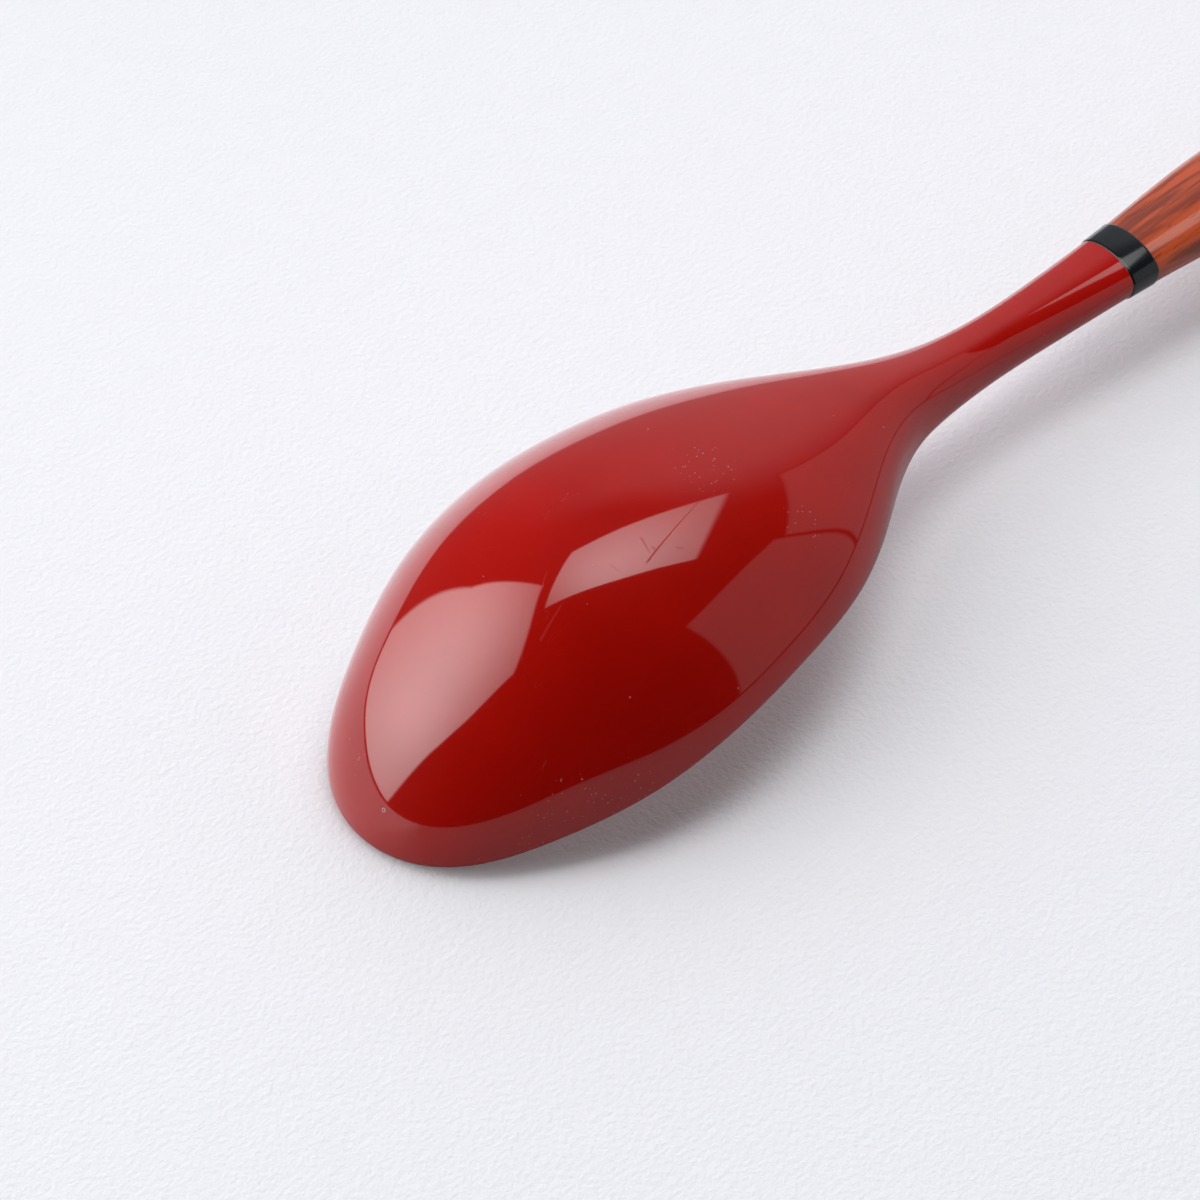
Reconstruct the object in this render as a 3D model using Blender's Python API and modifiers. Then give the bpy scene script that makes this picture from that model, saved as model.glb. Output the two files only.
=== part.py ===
"""A lacquered wooden table spoon, lying face down as it does on a table.

Metres, +Z up, +X from the bowl's tip to the handle's end. The origin is the middle of the
spoon's box, on the table. The bowl and neck are one piece, a shell that is open below and runs
out into a solid neck. A black band and a wooden handle follow it, and a glued pin runs through
the band into both.
"""

import math

import bmesh
import bpy
import numpy as np
from mathutils import Vector

# Lengths along the spoon, from the bowl's tip
OVERALL_LENGTH = 0.190
BOWL_LENGTH = 0.070
RED_LENGTH = 0.1045
BAND_WIDTH = 0.0032
TIP_ROUND = 0.030
HOLLOW_LENGTH = 0.074
HOLLOW_RUN_OUT = 0.020
HANDLE_END_ROUND = 0.008

# Widths across it
BOWL_WIDTH = 0.0402
NECK_WIDTH = 0.0068
JOINT_WIDTH = 0.0087
HANDLE_WIDTH = 0.0130

# Heights above the table, and thicknesses
RIM_LIFT = 0.0120
JOINT_LIFT = 0.0123
BOWL_RISE = 0.0157
WALL = 0.0022
RIM_THICKNESS = 0.0018
NECK_THICKNESS = 0.0057
JOINT_THICKNESS = 0.0054
HANDLE_THICKNESS = 0.0086
REST_FLAT_DEPTH = 0.0012

# The band and the pin
BAND_STEP = 0.00012
BAND_EDGE = 0.0003
GLUE_GAP = 0.0003
DOWEL_DIAMETER = 0.0024
DOWEL_LENGTH = 0.024
DOWEL_CHAMFER = 0.0004

# How full the sections are below their widest line: 0.5 is an ellipse, less is squarer
BELLY_FULLNESS = 0.42

# Fineness of the faces
TIP_ROWS = 14
BODY_ROWS = 32
BOWL_ROWS = TIP_ROWS + BODY_ROWS
COLUMNS = 22
RIM_STEPS = 6
HANDLE_ROWS = 30
END_ROWS = 7
AROUND = 32
DOWEL_SIDES = 24
WELD = 1e-6

BAND_START = RED_LENGTH + GLUE_GAP
BAND_END = BAND_START + BAND_WIDTH
HANDLE_START = BAND_END + GLUE_GAP
JOINT = (BAND_START + BAND_END) / 2


# Smooth curves along the spoon

def smooth_curve(points):
    """A function of the place along the spoon that runs through the points without a kink."""
    place, value = np.array(sorted(points)).T
    step = np.diff(place)
    slope = np.diff(value) / step
    last = len(place) - 1
    matrix = np.eye(last + 1)
    right = np.zeros(last + 1)
    for i in range(1, last):
        matrix[i, i - 1:i + 2] = step[i - 1], 2 * (step[i - 1] + step[i]), step[i]
        right[i] = 6 * (slope[i] - slope[i - 1])
    bend = np.linalg.solve(matrix, right)

    def at(x):
        x = min(max(x, place[0]), place[last])
        i = min(int(np.searchsorted(place, x, side="right")) - 1, last - 1)
        before = (place[i + 1] - x) / step[i]
        after = (x - place[i]) / step[i]
        curl = (before**3 - before) * bend[i] + (after**3 - after) * bend[i + 1]
        return float(before * value[i] + after * value[i + 1] + curl * step[i] ** 2 / 6)

    return at


def bowl(size, *shares):
    """Points along the bowl: each a share of its length and a share of the size."""
    return [(BOWL_LENGTH * along, size * share) for along, share in shares]


def neck(size, *shares):
    """Points along the neck, from the bowl to the joint."""
    length = JOINT - BOWL_LENGTH
    return [(BOWL_LENGTH + length * along, size * share) for along, share in shares]


def grip(size, *shares):
    """Points along the handle, from the joint to its end."""
    length = OVERALL_LENGTH - JOINT
    return [(JOINT + length * along, size * share) for along, share in shares]


half_width = smooth_curve(
    bowl(BOWL_WIDTH / 2, (0, 0.726), (0.143, 0.79), (0.286, 0.935), (0.429, 1.0),
         (0.571, 0.952), (0.714, 0.818), (0.829, 0.607), (0.914, 0.417))
    + neck(NECK_WIDTH / 2, (0, 1.61), (0.165, 1.21), (0.385, 1.009), (0.69, 1.097))
    + grip(JOINT_WIDTH / 2, (0, 1.0))
    + grip(HANDLE_WIDTH / 2, (0.22, 0.895), (0.40, 0.98), (0.60, 1.0), (0.80, 0.945), (1, 0.84))
)

# Height of the back over the widest line
crown = smooth_curve(
    bowl(BOWL_RISE, (0, 0.58), (0.071, 0.777), (0.143, 0.88), (0.257, 1.0), (0.4, 0.955),
         (0.571, 0.80), (0.743, 0.646), (0.886, 0.521), (1, 0.391))
    + neck(NECK_THICKNESS, (0.22, 0.69), (0.44, 0.50), (0.715, 0.401))
    + grip(JOINT_THICKNESS, (0, 0.383))
    + grip(HANDLE_THICKNESS, (0.22, 0.357), (0.50, 0.46), (0.80, 0.46), (1, 0.44))
)

# Depth of the neck's and handle's underside below it
belly = smooth_curve(
    neck(NECK_THICKNESS, (-0.22, 0.258), (0, 0.39), (0.22, 0.515), (0.55, 0.534))
    + grip(JOINT_THICKNESS, (0, 0.616))
    + grip(HANDLE_THICKNESS, (0.22, 0.496), (0.50, 0.54), (0.80, 0.51), (1, 0.50))
)

REST_LIFT = HANDLE_THICKNESS / 2 - REST_FLAT_DEPTH

# Height of the widest line over the table: the rim, then the middle of the neck and handle
side_line = smooth_curve(
    bowl(RIM_THICKNESS, (0, 0.39))
    + bowl(RIM_LIFT, (0.2, 0.413), (0.429, 0.832), (0.657, 0.997))
    + bowl(JOINT_LIFT, (0.857, 0.947))
    + neck(JOINT_LIFT, (0.14, 0.956), (0.69, 0.974))
    + grip(JOINT_LIFT, (0, 1.003), (0.187, 1.005))
    + [(x, REST_LIFT + drop) for x, drop in grip(JOINT_LIFT - REST_LIFT, (0.39, 0.84),
                                                 (0.593, 0.50), (0.797, 0.15), (0.904, 0.03), (1, 0))]
)

# How full the back's sections are: 0.5 is an ellipse, less is squarer, more is a ridge
fullness = smooth_curve(
    bowl(1, (0, 0.565), (0.114, 0.558), (0.257, 0.64), (0.486, 0.683), (0.714, 0.563), (0.943, 0.34))
    + neck(1, (0.275, 0.382), (0.83, 0.537))
    + grip(1, (0.22, 0.418), (0.50, 0.41), (1, 0.45))
)


# The forms

def plan_place(row, column, inset):
    """A corner of the bowl's grid seen from above: its place, and its share of the rise.

    The first rows bend round the tip. The outline is drawn in by the inset.
    """
    side = math.sin(math.pi / 2 * (2 * column / COLUMNS - 1))
    ahead = 0.0
    x = TIP_ROUND + (RED_LENGTH - TIP_ROUND) * (row - TIP_ROWS) / BODY_ROWS
    if row < TIP_ROWS:
        along = math.sin(math.pi / 2 * (row / TIP_ROWS - 1))
        ahead = along * math.sqrt(1 - side**2 / 2)
        side = side * math.sqrt(1 - along**2 / 2)
        x = inset + (TIP_ROUND - inset) * (1 + ahead)
    spread = 1 + ahead**2
    y = side * math.sqrt(spread) * (half_width(x) - inset)
    return x, y, max(spread * (1 - ahead**2 - side**2), 0.0)


def back_place(row, column):
    """A point of the convex back."""
    x, y, rise = plan_place(row, column, 0.0)
    return Vector((x, y, side_line(x) + crown(x) * rise ** fullness(x)))


def hollow_place(row, column):
    """A point of the hollow, a wall's thickness under the back."""
    x, y, rise = plan_place(row, column, RIM_THICKNESS)
    return Vector((x, y, side_line(x) + (crown(x) - WALL) * rise ** fullness(x)))


def belly_place(x, turn):
    """A point of the rounded underside: turn is the angle from straight down."""
    drop = belly(x) * max(math.cos(turn), 0.0) ** (2 * BELLY_FULLNESS)
    return Vector((x, half_width(x) * math.sin(turn), side_line(x) - drop))


def run_out(place, turn):
    """Lets the hollow and its rim run out into the neck's rounded underside."""
    start = HOLLOW_LENGTH - HOLLOW_RUN_OUT
    share = min(max((place.x - start) / HOLLOW_RUN_OUT, 0.0), 1.0)
    share = share * share * (3 - 2 * share)
    return place.lerp(belly_place(place.x, turn), share) if share else place


def underside_place(row, column):
    """A point between the two inner edges of the rim."""
    turn = math.pi / 4 * (2 * column / COLUMNS - 1)
    return run_out(hollow_place(row, column), turn)


def rim_place(row, column, step):
    """A point of the rim's half round edge, from its outer edge at step 0 to its inner edge."""
    outer = back_place(row, column)
    inner = hollow_place(row, column)
    swing = math.pi * step / RIM_STEPS
    place = outer.lerp(inner, (1 - math.cos(swing)) / 2)
    place.z -= (inner - outer).length / 2 * math.sin(swing)
    side = math.copysign(1, 2 * column - COLUMNS)
    return run_out(place, side * (math.pi / 2 - swing / 4))


def section_place(x, turn, closing, grow):
    """A point of a full section of the neck, band or handle: turn is the angle from the top."""
    level = max(closing * math.cos(turn) ** 2, 0.0)
    y = (half_width(x) * math.sqrt(closing) + grow) * math.sin(turn)
    if math.cos(turn) > 0:
        return Vector((x, y, side_line(x) + (crown(x) + grow) * level ** fullness(x)))
    return Vector((x, y, side_line(x) - (belly(x) + grow) * level**BELLY_FULLNESS))


# Meshes

def add_sheet(bm, rows, columns, place):
    """Adds a grid of faces whose corners lie where place(row, column) says."""
    for vert in bmesh.ops.create_grid(bm, x_segments=rows, y_segments=columns, size=1.0)["verts"]:
        row = round((vert.co.x + 1) / 2 * rows)
        column = round((vert.co.y + 1) / 2 * columns)
        vert.co = place(row, column)


def close_body(bm):
    """Welds the sheets, fills the open ends and turns the faces outwards."""
    bmesh.ops.remove_doubles(bm, verts=bm.verts, dist=WELD)
    bmesh.ops.holes_fill(bm, edges=[edge for edge in bm.edges if edge.is_boundary], sides=0)
    bmesh.ops.recalc_face_normals(bm, faces=bm.faces)


def add_object(name, bm, collection, material):
    """Makes an object of the mesh, with its lengths counted from the spoon's middle."""
    bmesh.ops.translate(bm, verts=bm.verts, vec=(-OVERALL_LENGTH / 2, 0, 0))
    mesh = bpy.data.meshes.new(name)
    bm.to_mesh(mesh)
    bm.free()
    mesh.shade_smooth()
    mesh.set_sharp_from_angle(angle=math.radians(40))
    mesh.materials.append(material)
    obj = bpy.data.objects.new(name, mesh)
    collection.objects.link(obj)
    return obj


def make_material(name, color, roughness, coat):
    material = bpy.data.materials.new(name)
    material.use_nodes = True
    shader = material.node_tree.nodes["Principled BSDF"]
    shader.inputs["Base Color"].default_value = (*color, 1)
    shader.inputs["Metallic"].default_value = 0.0
    shader.inputs["Roughness"].default_value = roughness
    shader.inputs["Coat Weight"].default_value = coat
    material.diffuse_color = (*color, 1)
    return material


def bore(obj, cutter):
    """Cuts the pin's hole out of a piece."""
    cut = obj.modifiers.new("pin hole", "BOOLEAN")
    cut.operation = "DIFFERENCE"
    cut.object = cutter


# The pieces

def make_bowl(collection, material):
    """The bowl and neck: a back, a hollow and a half round rim, welded into one shell."""
    path = [(BOWL_ROWS - step, 0) for step in range(BOWL_ROWS)]
    path += [(0, column) for column in range(COLUMNS)]
    path += [(row, COLUMNS) for row in range(BOWL_ROWS + 1)]
    bm = bmesh.new()
    add_sheet(bm, BOWL_ROWS, COLUMNS, back_place)
    add_sheet(bm, BOWL_ROWS, COLUMNS, underside_place)
    add_sheet(bm, len(path) - 1, RIM_STEPS, lambda along, step: rim_place(*path[along], step))
    close_body(bm)
    return add_object("bowl", bm, collection, material)


def make_band(collection, material):
    """The collar, a little proud of the neck and the handle, with eased edges."""
    ends = ((BAND_START, 0.0), (BAND_START + BAND_EDGE, BAND_STEP),
            (BAND_END - BAND_EDGE, BAND_STEP), (BAND_END, 0.0))

    def place(row, column):
        x, grow = ends[row]
        return section_place(x, 2 * math.pi * column / AROUND, 1.0, grow)

    bm = bmesh.new()
    add_sheet(bm, len(ends) - 1, AROUND, place)
    close_body(bm)
    return add_object("black_band", bm, collection, material)


def make_handle(collection, material):
    """The handle: it swells from the joint, bends down to the table and ends round.

    Its underside is shaved flat where it rests.
    """
    rounding = OVERALL_LENGTH - HANDLE_END_ROUND

    def place(row, column):
        turn = 2 * math.pi * column / AROUND
        if row <= HANDLE_ROWS:
            return section_place(HANDLE_START + (rounding - HANDLE_START) * row / HANDLE_ROWS, turn, 1.0, 0.0)
        swing = math.pi / 2 * (row - HANDLE_ROWS) / (END_ROWS + 0.3)
        x = rounding + HANDLE_END_ROUND * math.sin(swing)
        return section_place(x, turn, math.cos(swing) ** 2, 0.0)

    bm = bmesh.new()
    add_sheet(bm, HANDLE_ROWS + END_ROWS, AROUND, place)
    close_body(bm)
    bmesh.ops.bisect_plane(bm, geom=bm.verts[:] + bm.edges[:] + bm.faces[:], dist=WELD,
                           plane_co=(0, 0, 0), plane_no=(0, 0, -1), clear_outer=True)
    bmesh.ops.remove_doubles(bm, verts=bm.verts, dist=10 * WELD)
    close_body(bm)
    return add_object("handle", bm, collection, material)


def make_pin(name, collection, length, radius, sides, chamfer):
    """A round pin along the spoon, centred on the joint."""
    height = side_line(JOINT) + (crown(JOINT) - belly(JOINT)) / 2
    bpy.ops.mesh.primitive_cylinder_add(
        vertices=sides, radius=radius, depth=length,
        location=(JOINT - OVERALL_LENGTH / 2, 0, height), rotation=(0, math.pi / 2, 0))
    pin = bpy.context.object
    pin.name = name
    pin.data.name = name
    for owner in list(pin.users_collection):
        owner.objects.unlink(pin)
    collection.objects.link(pin)
    if chamfer:
        bevel = pin.modifiers.new("chamfered ends", "BEVEL")
        bevel.width = chamfer
        bevel.segments = 1
        bevel.limit_method = "ANGLE"
    return pin


def main():
    for obj in list(bpy.data.objects):
        bpy.data.objects.remove(obj)
    parts = bpy.data.collections.new("lacquered_spoon")
    cutters = bpy.data.collections.new("cutters")
    for collection in (parts, cutters):
        bpy.context.scene.collection.children.link(collection)

    red = make_material("red_lacquer", (0.30, 0.010, 0.008), 0.12, 1.0)
    black = make_material("black_lacquer", (0.012, 0.011, 0.012), 0.15, 1.0)
    wood = make_material("finished_wood", (0.30, 0.085, 0.030), 0.30, 0.6)
    pale = make_material("pin_wood", (0.52, 0.36, 0.20), 0.7, 0.0)

    hole = make_pin("pin_hole", cutters, DOWEL_LENGTH + 2 * GLUE_GAP,
                    DOWEL_DIAMETER / 2 + GLUE_GAP, DOWEL_SIDES, 0.0)
    hole.hide_render = True
    hole.display_type = "WIRE"
    dowel = make_pin("dowel", parts, DOWEL_LENGTH, DOWEL_DIAMETER / 2, DOWEL_SIDES, DOWEL_CHAMFER)
    dowel.data.materials.append(pale)

    for piece in (make_bowl(parts, red), make_band(parts, black), make_handle(parts, wood)):
        bore(piece, hole)


main()
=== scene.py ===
"""The looks of a lacquered wooden table spoon that lies face down on pale paper.

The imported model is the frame: metres, +Z up, +X from the bowl's tip to the handle's end, the origin
under the middle of the spoon. Fine skins stand for its faceted bowl, collar and handle.
"""

import math

import bmesh
import bpy
import numpy as np
from bpy.props import FloatProperty, FloatVectorProperty, IntProperty, PointerProperty
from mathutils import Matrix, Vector


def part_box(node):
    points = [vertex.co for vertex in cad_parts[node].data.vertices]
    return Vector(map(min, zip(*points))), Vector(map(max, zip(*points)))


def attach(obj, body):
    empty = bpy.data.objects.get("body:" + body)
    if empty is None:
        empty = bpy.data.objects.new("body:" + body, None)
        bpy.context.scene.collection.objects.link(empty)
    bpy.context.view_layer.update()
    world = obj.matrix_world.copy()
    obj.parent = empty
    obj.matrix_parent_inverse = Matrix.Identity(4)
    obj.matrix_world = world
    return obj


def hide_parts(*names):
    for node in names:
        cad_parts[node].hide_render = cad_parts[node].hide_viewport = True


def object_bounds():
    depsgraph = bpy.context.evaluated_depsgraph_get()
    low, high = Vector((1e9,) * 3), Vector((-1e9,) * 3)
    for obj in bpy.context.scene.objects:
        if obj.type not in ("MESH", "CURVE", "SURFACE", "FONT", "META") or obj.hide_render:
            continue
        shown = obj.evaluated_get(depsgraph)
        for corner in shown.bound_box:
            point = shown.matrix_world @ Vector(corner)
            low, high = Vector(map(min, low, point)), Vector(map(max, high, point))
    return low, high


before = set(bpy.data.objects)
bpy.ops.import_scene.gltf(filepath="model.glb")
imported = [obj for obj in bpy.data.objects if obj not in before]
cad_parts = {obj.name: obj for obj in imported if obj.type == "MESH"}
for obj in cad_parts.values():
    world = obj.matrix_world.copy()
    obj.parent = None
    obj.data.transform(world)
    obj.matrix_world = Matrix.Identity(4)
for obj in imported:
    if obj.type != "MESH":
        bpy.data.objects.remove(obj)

bl_info = {
    "name": "Lacquered spoon",
    "version": (1, 0, 0),
    "blender": (4, 5, 0),
    "location": "3D Viewport > Sidebar > Spoon",
    "description": "Makes a red lacquered table spoon with a wooden handle, and its studio",
    "category": "Object",
}

LOW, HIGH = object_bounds()
TIP = LOW.x
BOWL_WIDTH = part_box("bowl")[1].y * 2
RED_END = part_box("bowl")[1].x - TIP
BAND_START, BAND_END = (corner.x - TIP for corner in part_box("black_band"))
HANDLE_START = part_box("handle")[0].x - TIP
PIN_START, PIN_END = (corner.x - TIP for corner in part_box("dowel"))
PIN_LOW, PIN_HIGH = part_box("dowel")
WELD = 1e-6
SHARP_ANGLE = math.radians(40)


# Sizes and colours that a user would change

def length(name, description, default):
    return FloatProperty(name=name, description=description, default=default, min=0.0,
                         unit="LENGTH", precision=5)


def colour(name, description, default):
    return FloatVectorProperty(name=name, description=description, default=default, min=0.0,
                               max=1.0, size=3, subtype="COLOR")


def count(name, description, default):
    return IntProperty(name=name, description=description, default=default, min=2)


def brightness(name, description, default):
    return FloatProperty(name=name, description=description, default=default, min=0.0)


class SpoonSizes(bpy.types.PropertyGroup):
    """Real sizes of the spoon."""

    overall_length: length("Overall length", "From the bowl's tip to the handle's end", 0.190)
    bowl_length: length("Bowl length", "From the tip to where the neck starts", 0.070)
    tip_round: length("Tip round", "How far back the tip's rounding reaches", 0.030)
    hollow_length: length("Hollow length", "Where the hollow has run out into the neck", 0.074)
    hollow_run_out: length("Hollow run-out", "Length over which the hollow fades", 0.020)
    handle_end_round: length("Handle end round", "Length of the handle's rounded end", 0.008)
    bowl_width: length("Bowl width", "Widest place of the bowl", BOWL_WIDTH)
    neck_width: length("Neck width", "Narrowest place of the neck", 0.0068)
    joint_width: length("Joint width", "Width at the collar", 0.0087)
    handle_width: length("Handle width", "Widest place of the handle", 0.0130)
    rim_lift: length("Rim lift", "Height of the bowl's side rims", 0.0120)
    joint_lift: length("Joint lift", "Height of the neck's side line", 0.0123)
    bowl_rise: length("Bowl rise", "Height of the back over the rim", 0.0157)
    wall: length("Wall", "Thickness of the bowl", 0.0022)
    rim_thickness: length("Rim thickness", "Thickness at the half round rim", 0.0018)
    neck_thickness: length("Neck thickness", "Thickness of the neck", 0.0057)
    joint_thickness: length("Joint thickness", "Thickness at the collar", 0.0054)
    handle_thickness: length("Handle thickness", "Thickness of the handle", 0.0086)
    rest_flat_depth: length("Resting flat depth", "Shaved off the handle's underside", 0.0012)
    band_step: length("Collar step", "How far the collar stands proud", 0.00012)
    band_edge: length("Collar edge", "Width of the collar's eased edges", 0.0003)
    band_lean: FloatProperty(name="Collar lean", description="How far the collar sits askew",
                             default=math.radians(8.5), subtype="ANGLE")
    lean_reach: length("Lean reach", "How far from the collar's middle the lean fades out", 0.012)
    seam: length("Seam", "Open line between two pieces", 0.00002)
    glue_gap: length("Glue gap", "Clearance round the hidden pin", 0.0003)
    tip_rows: count("Tip rows", "Rows of faces round the tip", 72)
    body_rows: count("Body rows", "Rows of faces from the tip's rounding to the collar", 170)
    columns: count("Columns", "Faces across the bowl", 104)
    rim_steps: count("Rim steps", "Faces round the rim's edge", 10)
    around: count("Around", "Faces round the collar and handle", 128)
    handle_rows: count("Handle rows", "Rows of faces along the handle", 200)
    end_rows: count("End rows", "Rows of faces round the handle's end", 24)


class SpoonColours(bpy.types.PropertyGroup):
    """Colours of the finishes and of the paper."""

    red: colour("Red lacquer", "The bowl's lacquer", (0.40, 0.0040, 0.0014))
    black: colour("Black lacquer", "The collar's lacquer", (0.006, 0.0075, 0.0095))
    wood_light: colour("Light wood", "Between the grain's streaks", (0.50, 0.066, 0.008))
    wood_dark: colour("Dark wood", "The grain's streaks", (0.23, 0.028, 0.007))
    pin: colour("Pin wood", "The hidden pin", (0.52, 0.36, 0.20))
    paper: colour("Paper", "What the spoon lies on", (0.83, 0.84, 0.87))


class StudioLevels(bpy.types.PropertyGroup):
    """Brightness of the studio, where 1 is white."""

    window: brightness("Window", "Light of the tall left panel", 3.1)
    window_seen: brightness("Window mirrored", "The same panel in a polished coat", 5.25)
    softbox: brightness("Softbox", "Light of the overhead panel", 5.7)
    softbox_seen: brightness("Softbox mirrored", "The same panel in a polished coat", 3.75)
    boards: brightness("Boards", "Light of the low boards on the right", 0.75)
    boards_seen: brightness("Boards mirrored", "The same boards in a polished coat", 0.355)
    sweep: brightness("Sweep", "Light of the sweep behind the spoon", 0.10)
    sweep_seen: brightness("Sweep mirrored", "The same sweep in a polished coat", 0.37)
    far_side: brightness("Far side", "Light of the room's far side", 0.35)
    far_side_seen: brightness("Far side mirrored", "The same side in a polished coat", 0.04)
    fill: brightness("Fill", "Light from behind the spoon that polished coats don't mirror", 1.12)
    # Painted glow: the share of the paper's tone that the camera sees as an even glow, which pales
    # its shadows
    paper_lift: brightness("Paper lift", "Share of the paper's tone that isn't shaded", 0.11)
    # Painted shade on the near paper and painted light on the far paper, in the tone that the spoon
    # sees and is lit by
    paper_near: brightness("Near paper", "Share of near paper's tone that lights the spoon", 0.80)
    paper_near_seen: brightness("Near paper mirrored", "The same in a polished coat", 0.42)
    paper_far: brightness("Far paper", "Share of far paper's tone that lights the spoon", 1.1)


# The spoon's form

def smooth_curve(points):
    """A function of the place along the spoon that runs through the points without a kink."""
    place, value = np.array(sorted(points)).T
    step = np.diff(place)
    slope = np.diff(value) / step
    last = len(place) - 1
    matrix = np.eye(last + 1)
    right = np.zeros(last + 1)
    for i in range(1, last):
        matrix[i, i - 1:i + 2] = step[i - 1], 2 * (step[i - 1] + step[i]), step[i]
        right[i] = 6 * (slope[i] - slope[i - 1])
    bend = np.linalg.solve(matrix, right)

    def at(x):
        x = min(max(x, place[0]), place[last])
        i = min(int(np.searchsorted(place, x, side="right")) - 1, last - 1)
        before = (place[i + 1] - x) / step[i]
        after = (x - place[i]) / step[i]
        curl = (before**3 - before) * bend[i] + (after**3 - after) * bend[i + 1]
        return float(before * value[i] + after * value[i + 1] + curl * step[i] ** 2 / 6)

    return at


class SpoonForm:
    """The spoon's smooth surface, with places counted from the bowl's tip."""

    def __init__(self, sizes):
        self.sizes = sizes
        self.joint = (BAND_START + BAND_END) / 2
        self.pin_radius = (PIN_HIGH.y - PIN_LOW.y) / 2 + sizes.glue_gap
        self.pin_height = (PIN_LOW.z + PIN_HIGH.z) / 2
        rest_lift = sizes.handle_thickness / 2 - sizes.rest_flat_depth
        bowl, neck, grip = self.bowl, self.neck, self.grip
        self.half_width = smooth_curve(
            bowl(sizes.bowl_width / 2, (0, 0.726), (0.143, 0.79), (0.286, 0.935), (0.429, 1.0),
                 (0.571, 0.952), (0.714, 0.818), (0.829, 0.607), (0.914, 0.417))
            + neck(sizes.neck_width / 2, (0, 1.61), (0.165, 1.21), (0.385, 1.009), (0.69, 1.097))
            + grip(sizes.joint_width / 2, (0, 1.0))
            + grip(sizes.handle_width / 2, (0.22, 0.895), (0.40, 0.98), (0.60, 1.0), (0.80, 0.945),
                   (1, 0.84)))
        self.crown = smooth_curve(
            bowl(sizes.bowl_rise, (0, 0.58), (0.071, 0.777), (0.143, 0.88), (0.257, 1.0),
                 (0.4, 0.955), (0.571, 0.80), (0.743, 0.646), (0.886, 0.521), (1, 0.391))
            + neck(sizes.neck_thickness, (0.22, 0.69), (0.44, 0.50), (0.715, 0.401))
            + grip(sizes.joint_thickness, (0, 0.383))
            + grip(sizes.handle_thickness, (0.22, 0.357), (0.50, 0.46), (0.80, 0.46), (1, 0.44)))
        self.belly = smooth_curve(
            neck(sizes.neck_thickness, (-0.22, 0.258), (0, 0.39), (0.22, 0.515), (0.55, 0.534))
            + grip(sizes.joint_thickness, (0, 0.616))
            + grip(sizes.handle_thickness, (0.22, 0.496), (0.50, 0.54), (0.80, 0.51), (1, 0.50)))
        self.side_line = smooth_curve(
            bowl(sizes.rim_thickness, (0, 0.39))
            + bowl(sizes.rim_lift, (0.2, 0.413), (0.429, 0.832), (0.657, 0.997))
            + bowl(sizes.joint_lift, (0.857, 0.947))
            + neck(sizes.joint_lift, (0.14, 0.956), (0.69, 0.974))
            + grip(sizes.joint_lift, (0, 1.003), (0.187, 1.005))
            + [(x, rest_lift + drop) for x, drop in grip(
                sizes.joint_lift - rest_lift, (0.39, 0.84), (0.593, 0.50), (0.797, 0.15),
                (0.904, 0.03), (1, 0))])
        self.fullness = smooth_curve(
            bowl(1, (0, 0.565), (0.114, 0.558), (0.257, 0.64), (0.486, 0.683), (0.714, 0.563),
                 (0.943, 0.34))
            + neck(1, (0.275, 0.382), (0.83, 0.537))
            + grip(1, (0.22, 0.418), (0.50, 0.41), (1, 0.45)))
        self.belly_fullness = 0.42

    def bowl(self, size, *shares):
        """Points along the bowl: each a share of its length and a share of the size."""
        return [(self.sizes.bowl_length * along, size * share) for along, share in shares]

    def neck(self, size, *shares):
        """Points along the neck, from the bowl to the joint."""
        start = self.sizes.bowl_length
        return [(start + (self.joint - start) * along, size * share) for along, share in shares]

    def grip(self, size, *shares):
        """Points along the handle, from the joint to its end."""
        reach = self.sizes.overall_length - self.joint
        return [(self.joint + reach * along, size * share) for along, share in shares]

    def plan_place(self, row, column, inset):
        """A corner of the bowl's grid seen from above: its place, and its share of the rise."""
        sizes = self.sizes
        side = math.sin(math.pi / 2 * (2 * column / sizes.columns - 1))
        ahead = 0.0
        share = (row - sizes.tip_rows) / sizes.body_rows
        x = sizes.tip_round + (RED_END - sizes.tip_round) * share
        if row < sizes.tip_rows:
            along = math.sin(math.pi / 2 * (row / sizes.tip_rows - 1))
            ahead = along * math.sqrt(1 - side**2 / 2)
            side = side * math.sqrt(1 - along**2 / 2)
            x = inset + (sizes.tip_round - inset) * (1 + ahead)
        spread = 1 + ahead**2
        y = side * math.sqrt(spread) * (self.half_width(x) - inset)
        return x, y, max(spread * (1 - ahead**2 - side**2), 0.0)

    def back_place(self, row, column):
        """A point of the convex back."""
        x, y, rise = self.plan_place(row, column, 0.0)
        return Vector((x, y, self.side_line(x) + self.crown(x) * rise ** self.fullness(x)))

    def hollow_place(self, row, column):
        """A point of the hollow, a wall's thickness under the back."""
        x, y, rise = self.plan_place(row, column, self.sizes.rim_thickness)
        depth = self.crown(x) - self.sizes.wall
        return Vector((x, y, self.side_line(x) + depth * rise ** self.fullness(x)))

    def belly_place(self, x, turn):
        """A point of the neck's rounded underside: turn is the angle from straight down."""
        drop = self.belly(x) * max(math.cos(turn), 0.0) ** (2 * self.belly_fullness)
        return Vector((x, self.half_width(x) * math.sin(turn), self.side_line(x) - drop))

    def run_out(self, place, turn):
        """Lets the hollow and its rim run out into the neck's rounded underside."""
        start = self.sizes.hollow_length - self.sizes.hollow_run_out
        share = min(max((place.x - start) / self.sizes.hollow_run_out, 0.0), 1.0)
        share = share * share * (3 - 2 * share)
        return place.lerp(self.belly_place(place.x, turn), share) if share else place

    def underside_place(self, row, column):
        """A point between the two inner edges of the rim."""
        turn = math.pi / 4 * (2 * column / self.sizes.columns - 1)
        return self.run_out(self.hollow_place(row, column), turn)

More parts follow.
